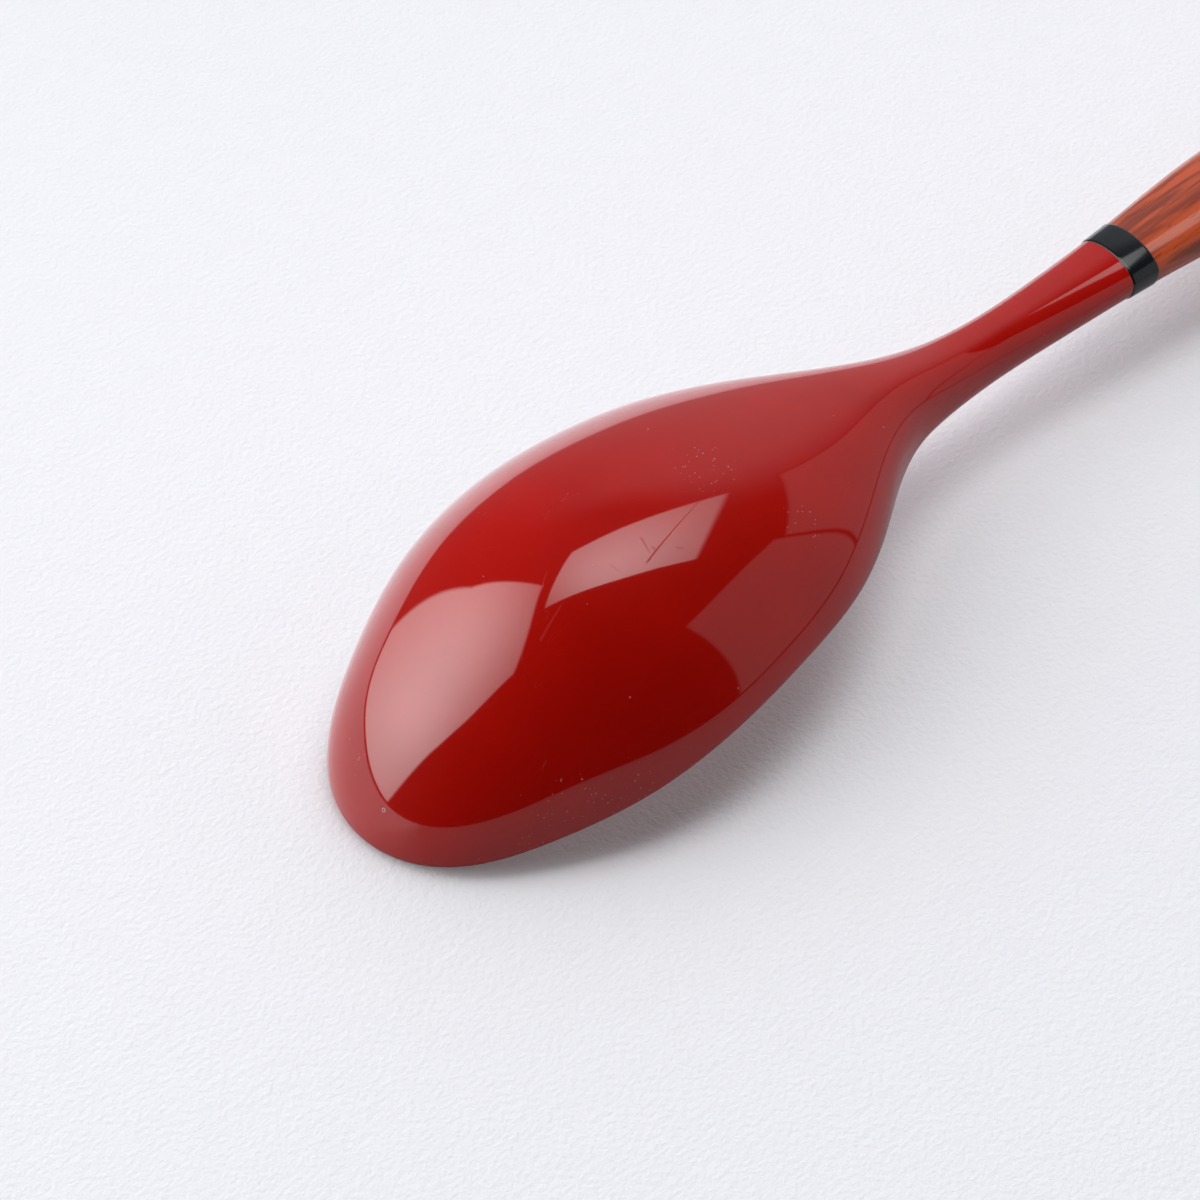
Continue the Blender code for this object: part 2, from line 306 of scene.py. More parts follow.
    def rim_place(self, row, column, step):
        """A point of the rim's half round edge, from its outer edge to its inner edge."""
        outer = self.back_place(row, column)
        inner = self.hollow_place(row, column)
        swing = math.pi * step / self.sizes.rim_steps
        place = outer.lerp(inner, (1 - math.cos(swing)) / 2)
        place.z -= (inner - outer).length / 2 * math.sin(swing)
        side = math.copysign(1, 2 * column - self.sizes.columns)
        return self.run_out(place, side * (math.pi / 2 - swing / 4))

    def section_place(self, x, turn, closing=1.0, grow=0.0):
        """A point of a full section: turn is the angle from the top."""
        level = max(closing * math.cos(turn) ** 2, 0.0)
        y = (self.half_width(x) * math.sqrt(closing) + grow) * math.sin(turn)
        if math.cos(turn) > 0:
            rise = (self.crown(x) + grow) * level ** self.fullness(x)
        else:
            rise = -(self.belly(x) + grow) * level ** self.belly_fullness
        return Vector((x, y, self.side_line(x) + rise))

    def lean_shift(self, place):
        """How far a point moves along the spoon because the collar sits a little askew."""
        share = max(1 - abs(place.x - self.joint) / self.sizes.lean_reach, 0.0)
        return math.tan(self.sizes.band_lean) * place.y * share * share * (3 - 2 * share)

    def bore_place(self, x, beside):
        """A point of the pin's hole, on the side where the other point lies."""
        angle = math.atan2(beside.y, beside.z - self.pin_height)
        return Vector((x, self.pin_radius * math.sin(angle),
                       self.pin_height + self.pin_radius * math.cos(angle)))


# Meshes

def add_sheet(bm, rows, columns, place):
    """Adds a grid of faces whose corners lie where place(row, column) says."""
    for vert in bmesh.ops.create_grid(bm, x_segments=rows, y_segments=columns, size=1.0,
                                      calc_uvs=True)["verts"]:
        row = round((vert.co.x + 1) / 2 * rows)
        column = round((vert.co.y + 1) / 2 * columns)
        vert.co = place(row, column)


def close_body(bm):
    """Welds the sheets, fills the open ends and turns the faces outwards."""
    bmesh.ops.remove_doubles(bm, verts=bm.verts, dist=WELD)
    bmesh.ops.holes_fill(bm, edges=[edge for edge in bm.edges if edge.is_boundary], sides=0)
    bmesh.ops.recalc_face_normals(bm, faces=bm.faces)


def add_piece(name, form, bm, material, node):
    """Makes a visible piece of the mesh, which stands for a node of the frame."""
    for vert in bm.verts:
        vert.co.x += form.lean_shift(vert.co)
    bmesh.ops.translate(bm, verts=bm.verts, vec=(TIP, 0, 0))
    mesh = bpy.data.meshes.new(name)
    bm.to_mesh(mesh)
    bm.free()
    mesh.shade_smooth()
    mesh.set_sharp_from_angle(angle=SHARP_ANGLE)
    mesh.materials.append(material)
    piece = bpy.data.objects.new(name, mesh)
    bpy.context.scene.collection.objects.link(piece)
    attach(piece, "root")
    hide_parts(node)


# Shader nodes

def add_node(tree, kind, inputs=None, **settings):
    """Adds a node, with values or links for its inputs by name or number."""
    node = tree.nodes.new(kind)
    for name, value in settings.items():
        setattr(node, name, value)
    for name, value in (inputs or {}).items():
        if isinstance(value, bpy.types.NodeSocket):
            tree.links.new(value, node.inputs[name])
        else:
            node.inputs[name].default_value = value
    return node


def add_math(tree, operation, *values):
    return add_node(tree, "ShaderNodeMath", dict(enumerate(values)), operation=operation).outputs[0]


def add_vector_math(tree, operation, vector, other=None, output="Vector", **inputs):
    """Vector math, where other is the second vector and named inputs may follow."""
    if other is not None:
        inputs[1] = other
    node = add_node(tree, "ShaderNodeVectorMath", {0: vector, **inputs}, operation=operation)
    return node.outputs[output]


def add_mapping(tree, place, scale, **inputs):
    """Stretches a place: a scale under 1 draws a pattern out along that axis."""
    return add_node(tree, "ShaderNodeMapping",
                    {"Vector": place, "Scale": scale, **inputs}).outputs[0]


def add_axes(tree, vector):
    """The three parts of a vector."""
    return add_node(tree, "ShaderNodeSeparateXYZ", {0: vector}).outputs


def add_ramp(tree, factor, low, high):
    """A soft step from 0 to 1 while the factor goes from low to high."""
    return add_node(tree, "ShaderNodeMapRange", {0: factor, 1: low, 2: high, 3: 0.0, 4: 1.0},
                    interpolation_type="SMOOTHSTEP").outputs[0]


def add_noise(tree, place, scale, detail=2.0, roughness=0.5):
    return add_node(tree, "ShaderNodeTexNoise", {"Vector": place, "Scale": scale, "Detail": detail,
                                                 "Roughness": roughness}).outputs["Fac"]


def add_mix(tree, factor, first, second):
    """Mixes two colours."""
    return add_node(tree, "ShaderNodeMix", {0: factor, 6: first, 7: second},
                    data_type="RGBA").outputs[2]


def new_group(name, inputs, outputs):
    """Starts a shader node group with named inputs and outputs."""
    group = bpy.data.node_groups.new(name, "ShaderNodeTree")
    for label, kind, value in inputs:
        socket = group.interface.new_socket(label, in_out="INPUT", socket_type=kind)
        if value is not None:
            socket.default_value = value
    for label, kind in outputs:
        group.interface.new_socket(label, in_out="OUTPUT", socket_type=kind)
    entry = group.nodes.new("NodeGroupInput").outputs
    end = group.nodes.new("NodeGroupOutput").inputs
    return group, entry, end


def place_group(tree, group, **values):
    """Puts a group into a material. Names with an underscore stand for sockets with a space."""
    node = tree.nodes.new("ShaderNodeGroup")
    node.node_tree = group
    for name, value in values.items():
        label = name.replace("_", " ")
        if isinstance(value, bpy.types.NodeSocket):
            tree.links.new(value, node.inputs[label])
        else:
            node.inputs[label].default_value = value
    return node.outputs


def add_specks(tree, place, cell_scale, radius, kept):
    """Small round specks: one in each cell, of which a share is kept."""
    cells = add_node(tree, "ShaderNodeTexVoronoi", {"Vector": place, "Scale": cell_scale})
    pick = add_node(tree, "ShaderNodeSeparateColor", {0: cells.outputs["Color"]}).outputs
    size = add_math(tree, "MULTIPLY", pick[1], radius)
    speck = add_math(tree, "LESS_THAN", cells.outputs["Distance"], size)
    return add_math(tree, "MULTIPLY", speck, add_math(tree, "LESS_THAN", pick[0], kept))


def handling_marks():
    """Dust and hairlines that a handled, polished surface shows."""
    group, entry, end = new_group(
        "handling_marks",
        [("Place", "NodeSocketVector", None), ("Dust Size", "NodeSocketFloat", 0.09),
         ("Hairline Width", "NodeSocketFloat", 0.0012), ("Dusty", "NodeSocketFloat", 0.0)],
        [("Dust", "NodeSocketFloat"), ("Hairlines", "NodeSocketFloat")])
    lone_scale, lone_kept = 700.0, 0.10
    swarm_scale, swarm_kept, swarm_growth = 2600.0, 0.45, 3.2
    patch_scale, patch_edge = 55.0, (0.66, 0.70)
    swarm_size = add_math(group, "MULTIPLY", entry["Dust Size"], swarm_growth)
    lone = add_specks(group, entry["Place"], lone_scale, entry["Dust Size"], lone_kept)
    swarm = add_specks(group, entry["Place"], swarm_scale, swarm_size, swarm_kept)
    patches = add_ramp(group, add_noise(group, entry["Place"], patch_scale), *patch_edge)
    patches = add_math(group, "MAXIMUM", patches, entry["Dusty"])
    dust = add_math(group, "MAXIMUM", lone, add_math(group, "MULTIPLY", swarm, patches))
    group.links.new(dust, end["Dust"])
    line_scale, line_stretch, line_level = 700.0, 0.035, 0.62
    bundle_edge = (0.56, 0.62)
    lines = 0.0
    for turn, bundle_scale in ((16, 60.0), (-35, 75.0)):
        drawn = add_mapping(group, entry["Place"], (line_stretch, 1, 1),
                            Rotation=(0, 0, math.radians(-turn)))
        value = add_noise(group, drawn, line_scale, 0.0)
        off = add_math(group, "ABSOLUTE", add_math(group, "SUBTRACT", value, line_level))
        line = add_math(group, "LESS_THAN", off, entry["Hairline Width"])
        shown = add_noise(group, entry["Place"], bundle_scale, 1.0)
        shown = add_ramp(group, shown, *bundle_edge)
        lines = add_math(group, "MAXIMUM", lines, add_math(group, "MULTIPLY", line, shown))
    group.links.new(lines, end["Hairlines"])
    return group


def brushed_waves():
    """The gentle unevenness that brushing leaves in a polished coat, in millimetres."""
    group, entry, end = new_group(
        "brushed_waves",
        [("Place", "NodeSocketVector", None), ("Wave Height", "NodeSocketFloat", 0.0055)],
        [("Height", "NodeSocketFloat")])
    brush_stretch = (0.6, 1, 1)
    broad_scale, fine_scale, fine_share = 110.0, 480.0, 0.10
    drawn = add_mapping(group, entry["Place"], brush_stretch)
    broad = add_noise(group, drawn, broad_scale, 1.0)
    fine = add_math(group, "MULTIPLY", add_noise(group, drawn, fine_scale, 1.0), fine_share)
    height = add_math(group, "MULTIPLY", add_math(group, "ADD", broad, fine), entry["Wave Height"])
    group.links.new(height, end["Height"])
    return group


def wood_grain():
    """Lengthwise streaks, pores and their height, for wood cut along the spoon."""
    group, entry, end = new_group(
        "wood_grain",
        [("Place", "NodeSocketVector", None), ("Streak Scale", "NodeSocketFloat", 640.0)],
        [("Streaks", "NodeSocketFloat"), ("Pores", "NodeSocketFloat"),
         ("Height", "NodeSocketFloat")])
    wander_scale, wander_reach = 28.0, 0.0016
    broad_stretch, broad_share, streak_edge = (0.06, 1, 0.7), 0.75, (0.41, 0.59)
    fibre_stretch, fibre_scale, fibre_height = (0.03, 1, 1), 2600.0, 0.004
    pore_stretch, pore_scale, pore_edge, pore_depth = (0.09, 1, 1), 3800.0, (0.68, 0.76), 0.006
    wander = add_node(group, "ShaderNodeTexNoise", {
        "Vector": entry["Place"], "Scale": wander_scale, "Detail": 1.0}).outputs["Color"]
    shift = add_vector_math(group, "SUBTRACT", wander, (0.5, 0.5, 0.5))
    shift = add_vector_math(group, "SCALE", shift, Scale=wander_reach)
    place = add_vector_math(group, "ADD", entry["Place"], shift)
    broad = add_mapping(group, place, broad_stretch)
    broad = add_noise(group, broad, entry["Streak Scale"], 2.0, 0.6)
    fine = add_noise(group, add_mapping(group, place, fibre_stretch), fibre_scale, 2.0, 0.6)
    streaks = add_math(group, "ADD", add_math(group, "MULTIPLY", broad, broad_share),
                       add_math(group, "MULTIPLY", fine, 1 - broad_share))
    group.links.new(add_ramp(group, streaks, *streak_edge), end["Streaks"])
    dashes = add_noise(group, add_mapping(group, place, pore_stretch), pore_scale, 0.0)
    pores = add_ramp(group, dashes, *pore_edge)
    group.links.new(pores, end["Pores"])
    height = add_math(group, "SUBTRACT", add_math(group, "MULTIPLY", fine, fibre_height),
                      add_math(group, "MULTIPLY", pores, pore_depth))
    group.links.new(height, end["Height"])
    return group


def shared_group(make):
    """The node group that the function makes, made once."""
    return bpy.data.node_groups.get(make.__name__) or make()


def start_material(name, display):
    """A material with a Principled shader, and the object's own coordinates."""
    material = bpy.data.materials.new(name)
    material.use_nodes = True
    material.diffuse_color = (*display, 1)
    tree = material.node_tree
    shader = tree.nodes["Principled BSDF"]
    place = add_node(tree, "ShaderNodeTexCoord").outputs["Object"]
    return material, tree, shader, place


def set_values(shader, **values):
    """Sets plain values on the shader's own sockets."""
    for name, value in values.items():
        shader.inputs[name.replace("_", " ")].default_value = value


def raise_surface(tree, shader, height, *coats):
    """Bends the shader's normal by a height in millimetres."""
    bump = add_node(tree, "ShaderNodeBump", {"Strength": 1.0, "Distance": 0.001, "Height": height})
    for socket in ("Normal", *coats):
        tree.links.new(bump.outputs[0], shader.inputs[socket])


def add_scratch(tree, place, start, end, width):
    """A tapering scratch between two points of the surface, seen from above.

    It is drawn from 0 to 1 along X, and from -1 to 1 across it.
    """
    narrowing = 0.6
    side_edge, tip_edge = (1.2, 0.7), (0.5, 0.45)
    along = Vector(end) - Vector(start)
    drawn = add_node(tree, "ShaderNodeMapping", {
        "Vector": place, "Location": (*start, 0), "Rotation": (0, 0, math.atan2(along.y, along.x)),
        "Scale": (along.length, width / 2, 1)}, vector_type="TEXTURE")
    parts = add_axes(tree, drawn.outputs[0])
    taper = add_math(tree, "MULTIPLY_ADD", parts[0], -narrowing, 1.0)
    off = add_math(tree, "DIVIDE", add_math(tree, "ABSOLUTE", parts[1]), taper)
    reach = add_math(tree, "ABSOLUTE", add_math(tree, "SUBTRACT", parts[0], 0.5))
    return add_math(tree, "MULTIPLY", add_ramp(tree, off, *side_edge),
                    add_ramp(tree, reach, *tip_edge))


def add_scratches(tree, place, scratches):
    """All the scratches of the upper side: each has a start, an end, a width and a strength."""
    facing = add_node(tree, "ShaderNodeTexCoord").outputs["Normal"]
    upper = add_math(tree, "GREATER_THAN", add_axes(tree, facing)[2], 0.0)
    worn = 0.0
    for start, end, width, strength in scratches:
        scratch = add_math(tree, "MULTIPLY", add_scratch(tree, place, start, end, width), strength)
        worn = add_math(tree, "MAXIMUM", worn, scratch)
    return add_math(tree, "MULTIPLY", worn, upper)


def add_spot(tree, place, centre, inner, outer):
    """A soft round spot: 1 inside the inner radius and 0 outside the outer one."""
    away = add_vector_math(tree, "DISTANCE", place, centre, output="Value")
    return add_ramp(tree, away, outer, inner)


def add_pit(tree, place, tone, centre, radius, ring_tone):
    """A pit in the coat, painted near black as its shade, with a pale worn ring. Their soft edges are
    in radii of the pit.
    """
    ring_edge, pit_edge = (1.5, 2.4), (0.8, 1.2)
    # Painted shade: the pit's near black tone stands for the shade inside it; the ring is pale wear
    painted_pit_shade = (0.01, 0.003, 0.002)
    for edge, mark_tone in ((ring_edge, ring_tone), (pit_edge, painted_pit_shade)):
        mark = add_spot(tree, place, centre, *(radius * part for part in edge))
        tone = add_mix(tree, mark, tone, (*mark_tone, 1))
    return tone


def lacquer(name, base, variation, dust_tone, coat_roughness, scratches=(), pits=(), dusty=()):
    """A polished lacquer coat: hand-brushed waves, scratches, hairlines and a little dust.

    Pits and dusty places each have a centre and a radius.
    """
    material, tree, shader, place = start_material(name, base)
    dust_patch = 0.0
    for centre, radius in dusty:
        patch = add_spot(tree, place, centre, radius / 3, radius)
        dust_patch = add_math(tree, "MAXIMUM", dust_patch, patch)
    marks = place_group(tree, shared_group(handling_marks), Place=place, Dusty=dust_patch)
    waves = place_group(tree, shared_group(brushed_waves), Place=place)
    set_values(shader, Roughness=0.42, Specular_IOR_Level=0.02, Coat_Roughness=coat_roughness,
               Coat_IOR=1.6)
    hairline_wear, worn_paleness, dust_paleness = 0.5, 0.15, 0.5
    worn = add_math(tree, "MULTIPLY", marks["Hairlines"], hairline_wear)
    if scratches:
        worn = add_math(tree, "MAXIMUM", worn, add_scratches(tree, place, scratches))
    bare = add_math(tree, "MAXIMUM", worn, marks["Dust"])
    tree.links.new(add_math(tree, "SUBTRACT", 1.0, bare), shader.inputs["Coat Weight"])
    cloud_scale, cloud_edge = 70.0, (0.3, 0.7)
    clouds = add_ramp(tree, add_noise(tree, place, cloud_scale, 3.0, 0.6), *cloud_edge)
    deep = tuple(part * (1 - variation) for part in base)
    tone = add_mix(tree, clouds, (*deep, 1), (*base, 1))
    for mark, paleness in ((worn, worn_paleness), (marks["Dust"], dust_paleness)):
        tone = add_mix(tree, add_math(tree, "MULTIPLY", mark, paleness), tone, (*dust_tone, 1))
    for centre, radius in pits:
        tone = add_pit(tree, place, tone, centre, radius, dust_tone)
    tree.links.new(tone, shader.inputs["Base Color"])
    hairline_depth = 0.0006
    height = add_math(tree, "SUBTRACT", waves["Height"],
                      add_math(tree, "MULTIPLY", marks["Hairlines"], hairline_depth))
    raise_surface(tree, shader, height, "Coat Normal")
    return material


def red_lacquer(colours):
    """The bowl's lacquer, with its larger scratches, its pit and its dusty places."""
    scratches = (((-0.0660, -0.0080), (-0.0566, -0.0057), 0.00020, 0.9),
                 ((-0.0644, -0.0057), (-0.0648, -0.0074), 0.00024, 0.6),
                 ((-0.0642, -0.0070), (-0.0642, -0.0078), 0.00022, 0.6),
                 ((-0.0623, -0.0083), (-0.0617, -0.0088), 0.00024, 0.5),
                 ((-0.0687, -0.0060), (-0.0684, -0.0072), 0.00020, 0.25),
                 ((-0.0780, -0.0065), (-0.0745, -0.0058), 0.00030, 0.3))
    pits = (((-0.0936, -0.00164, 0.00474), 0.00011),)
    dusty = (((-0.0530, -0.0026, 0.0238), 0.0045), ((-0.0487, -0.0119, 0.0198), 0.0030),
             ((-0.0926, 0.0033, 0.0062), 0.0024))
    return lacquer("red_lacquer", colours.red, 0.12, (0.55, 0.30, 0.28), 0.04,
                   scratches, pits, dusty)


def black_lacquer(colours):
    return lacquer("black_lacquer", colours.black, 0.2, (0.2, 0.2, 0.2), 0.12)


def grained_wood(name, light, dark, coat):
    """Wood with lengthwise grain under a clear finish."""
    material, tree, shader, place = start_material(name, light)
    grain = place_group(tree, shared_group(wood_grain), Place=place)
    tone = add_mix(tree, grain["Streaks"], (*dark, 1), (*light, 1))
    pore_cover, pore_darkness = 0.45, 0.3
    tone = add_mix(tree, add_math(tree, "MULTIPLY", grain["Pores"], pore_cover), tone,
                   (*(part * pore_darkness for part in dark), 1))
    tree.links.new(tone, shader.inputs["Base Color"])
    set_values(shader, Roughness=0.45, Specular_IOR_Level=0.2, Coat_Weight=coat,
               Coat_Roughness=0.08, Coat_IOR=1.5)
    raise_surface(tree, shader, grain["Height"])
    return material


def finished_wood(colours):
    return grained_wood("finished_wood", colours.wood_light, colours.wood_dark, 1.0)


def pin_wood(colours):
    return grained_wood("pin_wood", colours.pin, tuple(part * 0.6 for part in colours.pin), 0.0)


def paper(colours, levels):
    """Matt paper with a fine tooth, and an even painted glow, seen only by the camera, that pales its
    shadows.

    For the spoon, its tone has painted shade on the near side and painted light on the far side. Seen
    from beneath it lets the view through.
    """
    material, tree, shader, place = start_material("paper", colours.paper)
    lift = levels.paper_lift
    set_values(shader, Roughness=0.95, Specular_IOR_Level=0.1,
               Emission_Color=(*colours.paper, 1))
    fibre_scale, felt_scale, felt_shade, felt_edge = 1500.0, 260.0, 0.985, (0.2, 0.8)
    fibres = add_noise(tree, place, fibre_scale, 3.0, 0.6)
    felt = add_noise(tree, place, felt_scale)
    tone = add_ramp(tree, felt, *felt_edge)
    shade = tuple(part * felt_shade for part in colours.paper)
    tone = add_mix(tree, tone, (*shade, 1), (*colours.paper, 1))
    ray = add_node(tree, "ShaderNodeLightPath").outputs
    # Painted shade and light: for rays from the spoon, the paper's tone is darker on the near side
    # and brighter on the far side
    near_edge, far_edge = -0.010, 0.008
    near = add_math(tree, "MULTIPLY_ADD", ray["Is Glossy Ray"],
                    levels.paper_near_seen - levels.paper_near, levels.paper_near)
    painted_shade_and_light = add_node(tree, "ShaderNodeMapRange", {
        0: add_axes(tree, place)[1], 1: near_edge, 2: far_edge, 3: near, 4: levels.paper_far},
        interpolation_type="SMOOTHSTEP").outputs[0]
    # The camera sees neither: its tone is the paper's own, less the share given to the painted glow
    seen = add_math(tree, "MULTIPLY", ray["Is Camera Ray"],
                    add_math(tree, "SUBTRACT", 1 - lift, painted_shade_and_light))
    tone = add_vector_math(tree, "SCALE", tone, Scale=add_math(tree, "ADD", painted_shade_and_light, seen))
    tree.links.new(tone, shader.inputs["Base Color"])
    # Painted glow, seen only by the camera, which pales the shadows on the paper
    painted_glow_level = 0.95
    tree.links.new(add_math(tree, "MULTIPLY", ray["Is Camera Ray"], lift * painted_glow_level),
                   shader.inputs["Emission Strength"])
    fibre_height, felt_height = 0.14, 0.03
    height = add_math(tree, "ADD", add_math(tree, "MULTIPLY", fibres, fibre_height),
                      add_math(tree, "MULTIPLY", felt, felt_height))
    raise_surface(tree, shader, height)
    back = add_node(tree, "ShaderNodeNewGeometry").outputs["Backfacing"]
    clear = add_node(tree, "ShaderNodeBsdfTransparent")
    mix = add_node(tree, "ShaderNodeMixShader", {
        0: back, 1: shader.outputs[0], 2: clear.outputs[0]})
    tree.links.new(mix.outputs[0], tree.nodes["Material Output"].inputs["Surface"])
    return material


# The pieces

class SPOON_OT_bowl(bpy.types.Operator):
    """Shape the red lacquered bowl and neck: a back, a hollow and a half round rim"""

    bl_idname = "spoon.bowl"
    bl_label = "Red bowl and neck"

    def execute(self, context):
        sizes = context.scene.spoon_sizes
        form = SpoonForm(sizes)
        rows = sizes.tip_rows + sizes.body_rows
        path = [(rows - step, 0) for step in range(rows)]
        path += [(0, column) for column in range(sizes.columns)]
        path += [(row, sizes.columns) for row in range(rows + 1)]
        bottom = PIN_START - sizes.glue_gap

        def end_edge(step):
            """Runs once round the neck's end: over the back, down a rim, and back underneath."""
            columns, rim = sizes.columns, sizes.rim_steps
            if step <= columns:
                return form.back_place(rows, step)
            if step <= columns + rim:
                return form.rim_place(rows, columns, step - columns)
            if step <= 2 * columns + rim:
                return form.underside_place(rows, 2 * columns + rim - step)
            return form.rim_place(rows, 0, 2 * (columns + rim) - step)

        def end_place(row, step):
            edge = end_edge(step)
            return (edge, form.bore_place(RED_END, edge), form.bore_place(bottom, edge))[row]

        bm = bmesh.new()
        add_sheet(bm, rows, sizes.columns, form.back_place)
        add_sheet(bm, rows, sizes.columns, form.underside_place)
        add_sheet(bm, len(path) - 1, sizes.rim_steps,
                  lambda along, step: form.rim_place(*path[along], step))
        add_sheet(bm, 2, 2 * (sizes.columns + sizes.rim_steps), end_place)
        close_body(bm)
        add_piece("red_bowl", form, bm, red_lacquer(context.scene.spoon_colours), "bowl")
        return {"FINISHED"}


class SPOON_OT_collar(bpy.types.Operator):
    """Fit the black collar, a little proud of the neck and the handle"""

    bl_idname = "spoon.collar"
    bl_label = "Black collar"

    def execute(self, context):
        sizes = context.scene.spoon_sizes
        form = SpoonForm(sizes)
        start = RED_END + sizes.seam
        end = HANDLE_START - sizes.seam
        ease_steps = 6
        profile = []
        for step in range(ease_steps + 1):
            swing = math.pi / 2 * step / ease_steps
            profile.append((start + sizes.band_edge * (1 - math.cos(swing)),
                            sizes.band_step * math.sin(swing)))
        profile += [(start + end - x, grow) for x, grow in reversed(profile)]

        def place(row, column):
            turn = 2 * math.pi * column / sizes.around
            x, grow = profile[min(max(row - 1, 0), len(profile) - 1)]
            edge = form.section_place(x, turn, grow=grow)
            if 0 < row <= len(profile):
                return edge
            return form.bore_place(x, edge)

        bm = bmesh.new()
        add_sheet(bm, len(profile) + 1, sizes.around, place)
        add_sheet(bm, 1, sizes.around, lambda row, column: place(row * (len(profile) + 1), column))
        close_body(bm)
        add_piece("black_collar", form, bm, black_lacquer(context.scene.spoon_colours),
                  "black_band")
        return {"FINISHED"}


class SPOON_OT_handle(bpy.types.Operator):
    """Turn the wooden handle, which swells, bends down to the table and ends round"""

    bl_idname = "spoon.handle"
    bl_label = "Wooden handle"

    def execute(self, context):
        sizes = context.scene.spoon_sizes
        form = SpoonForm(sizes)
        rounding = sizes.overall_length - sizes.handle_end_round
        # The last row leaves the end a little open, and closing the body fills it
        open_share = 0.3

        def place(row, column):
            turn = 2 * math.pi * column / sizes.around
            if row < 2:
                edge = form.section_place(HANDLE_START, turn)
                return form.bore_place((PIN_END + sizes.glue_gap, HANDLE_START)[row], edge)
            row -= 2
            if row <= sizes.handle_rows:
                x = HANDLE_START + (rounding - HANDLE_START) * row / sizes.handle_rows
                return form.section_place(x, turn)
            swing = math.pi / 2 * (row - sizes.handle_rows) / (sizes.end_rows + open_share)
            return form.section_place(rounding + sizes.handle_end_round * math.sin(swing), turn,
                                      closing=math.cos(swing) ** 2)

        bm = bmesh.new()
        add_sheet(bm, sizes.handle_rows + sizes.end_rows + 2, sizes.around, place)
        close_body(bm)
        bmesh.ops.bisect_plane(bm, geom=bm.verts[:] + bm.edges[:] + bm.faces[:], dist=WELD,
                               plane_co=(0, 0, 0), plane_no=(0, 0, -1), clear_outer=True)
        close_body(bm)
        add_piece("wooden_handle", form, bm, finished_wood(context.scene.spoon_colours), "handle")
        return {"FINISHED"}


class SPOON_OT_pin(bpy.types.Operator):
    """Give the hidden pin its bare wood"""

    bl_idname = "spoon.pin"
    bl_label = "Hidden pin"

    def execute(self, context):
        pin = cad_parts["dowel"]
        pin.data.materials.clear()
        pin.data.materials.append(pin_wood(context.scene.spoon_colours))
        return {"FINISHED"}


# The studio

def glow(name, level, mirrored, hot_spot, reach):
    """A panel's light, brightest at its hot spot, and its level where a polished coat mirrors it.

    A level of 1 is white. The light fades at the panel's edges, apart from its lower edge.
    """
    material, tree, shader, place = start_material(name, (1, 1, 1))
    set_values(shader, Base_Color=(0, 0, 0, 1), Specular_IOR_Level=0.0, Emission_Strength=level)
    away = add_vector_math(tree, "DISTANCE", place, hot_spot, output="Value")
    fall = add_math(tree, "POWER", add_math(tree, "DIVIDE", away, reach), 2.0)
    share = add_math(tree, "DIVIDE", 1.0, add_math(tree, "ADD", fall, 1.0))
    glossy = add_node(tree, "ShaderNodeLightPath").outputs["Is Glossy Ray"]
    change = add_math(tree, "MULTIPLY_ADD", glossy, mirrored / level - 1, 1.0)
    share = add_math(tree, "MULTIPLY", share, change)
    sheet = add_node(tree, "ShaderNodeTexCoord").outputs["UV"]
    across, up, _ = add_axes(tree, sheet)
    edge = add_math(tree, "MINIMUM", across, add_math(tree, "SUBTRACT", 1.0, across))
    edge = add_math(tree, "MINIMUM", edge, add_math(tree, "SUBTRACT", 1.0, up))
    fade = 0.035
    share = add_math(tree, "MULTIPLY", share, add_ramp(tree, edge, 0.0, fade))
    tree.links.new(share, shader.inputs["Emission Color"])
    return material


def add_panel(name, corners, level, mirrored, hot_spot=(0, 0, 0), reach=100.0):
    """A glowing panel through rows of corners, which the camera doesn't see."""
    bm = bmesh.new()
    bm.loops.layers.uv.new("UVMap")
    add_sheet(bm, len(corners) - 1, len(corners[0]) - 1,
              lambda row, column: Vector(corners[row][column]))
    mesh = bpy.data.meshes.new(name)
    bm.to_mesh(mesh)
    bm.free()
    mesh.materials.append(glow(name, level, mirrored, hot_spot, reach))
    panel = bpy.data.objects.new(name, mesh)
    panel.visible_camera = False
    bpy.context.scene.collection.objects.link(panel)


def add_board(name, levels, bearing, first, last, height):
    """A low upright board that faces the spoon. Its ends are angles from its nearest point."""
    distance = 0.7
    out = Vector((math.cos(bearing), math.sin(bearing), 0))
    side = Vector((-out.y, out.x, 0))
    ends = [out * distance + side * distance * math.tan(angle) for angle in (first, last)]
    add_panel(name, [(end, end + Vector((0, 0, height))) for end in ends],
              levels.boards, levels.boards_seen)


